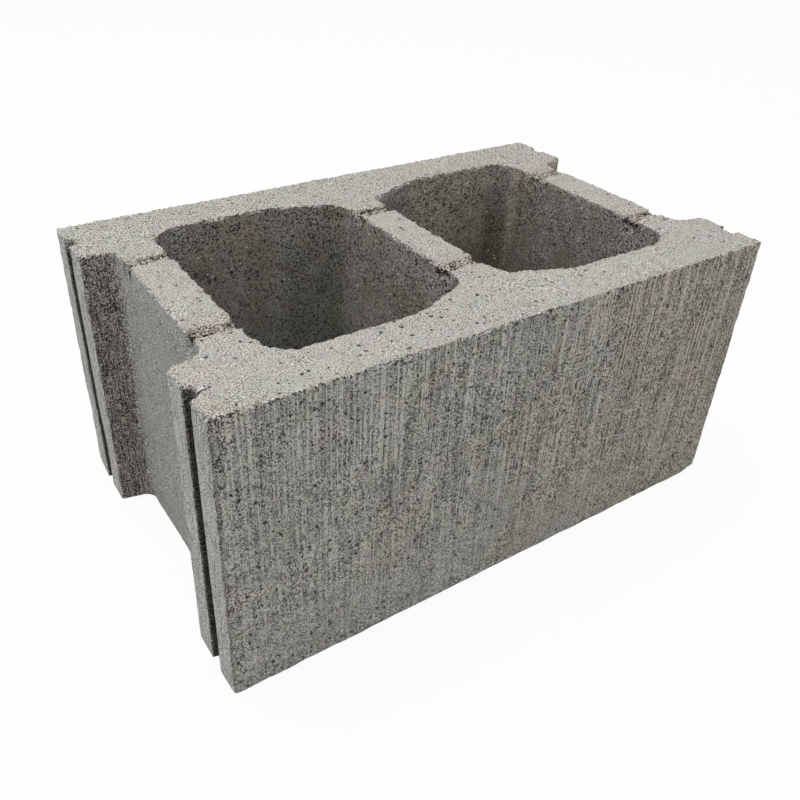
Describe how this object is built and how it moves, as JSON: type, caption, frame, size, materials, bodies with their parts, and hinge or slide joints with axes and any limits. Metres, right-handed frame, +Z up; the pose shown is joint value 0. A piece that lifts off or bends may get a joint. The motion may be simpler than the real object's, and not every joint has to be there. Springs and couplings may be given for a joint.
{
  "type": "concrete block",
  "caption": "Hollow concrete masonry block with open tapered cores, flared middle web, recessed ends with grooved ears and core-bar marks across the webs; stacked in mortar to build walls.",
  "frame": {"origin": "middle of the base, on the floor", "axes": "+X along the block's length, +Y through the wall, +Z up, with the core-bar marks on top"},
  "size_m": [0.397, 0.244, 0.194],
  "materials": {
    "concrete": "rough grey concrete, unpainted"
  },
  "bodies": {
    "root": {"concrete_block": "concrete"}
  },
  "joints": []
}
